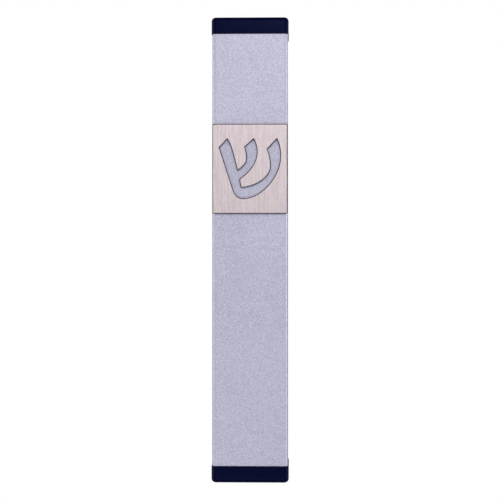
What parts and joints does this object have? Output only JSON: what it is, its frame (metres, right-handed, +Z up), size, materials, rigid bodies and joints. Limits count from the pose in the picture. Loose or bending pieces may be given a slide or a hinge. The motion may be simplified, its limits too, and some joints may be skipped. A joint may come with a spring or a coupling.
{
  "type": "mezuzah case",
  "caption": "Slim wall-mounted mezuzah case: satin aluminium channel, dark plastic end caps, brushed front plate with a cut-out shin, and a rolled parchment on a slide-in back plate.",
  "frame": {"origin": "centre of the mounting face, the rear of the adhesive tape, half way up the case", "axes": "+Z up along the case, +Y into the wall, so the front faces -Y; +X to the right for someone facing the front"},
  "size_m": [0.0204, 0.0181, 0.1228],
  "materials": {
    "foam_tape": "double-sided foam tape, matt",
    "black_plastic": "extruded, faint lines along its length",
    "satin_aluminium": "bead blasted and clear anodised",
    "adhesive_film": "double-sided film",
    "brushed_metal": "satin, brushed upright, warm tint",
    "navy_plastic": "moulded, semi-gloss, blue-black",
    "parchment": "scraped skin, blank",
    "clear_plastic": "thin clear film"
  },
  "bodies": {
    "wall_plate": {"mounting_tape": "foam_tape", "back_plate": "black_plastic"},
    "case": {"case_extrusion": "satin_aluminium", "plate_adhesive": "adhesive_film", "shin_plate": "brushed_metal"},
    "top_cap": {"top_cap": "navy_plastic"},
    "bottom_cap": {"bottom_cap": "navy_plastic"},
    "scroll": {"parchment_scroll": "parchment", "scroll_sleeve": "clear_plastic"}
  },
  "joints": [
    {"name": "case_slide", "type": "slide", "parent": "wall_plate", "child": "case", "axis": [0, 0, 1], "range_m": [0, 0.12]},
    {"name": "top_cap_pull", "type": "slide", "parent": "case", "child": "top_cap", "axis": [0, 0, 1], "range_m": [0, 0.015]},
    {"name": "bottom_cap_pull", "type": "slide", "parent": "case", "child": "bottom_cap", "axis": [0, 0, -1], "range_m": [0, 0.115]},
    {"name": "scroll_slide", "type": "slide", "parent": "case", "child": "scroll", "axis": [0, 0, -1], "range_m": [0, 0.115]}
  ],
  "couplings": [
    {"joint": "scroll_slide", "follows": "bottom_cap_pull", "ratio": 1}
  ]
}
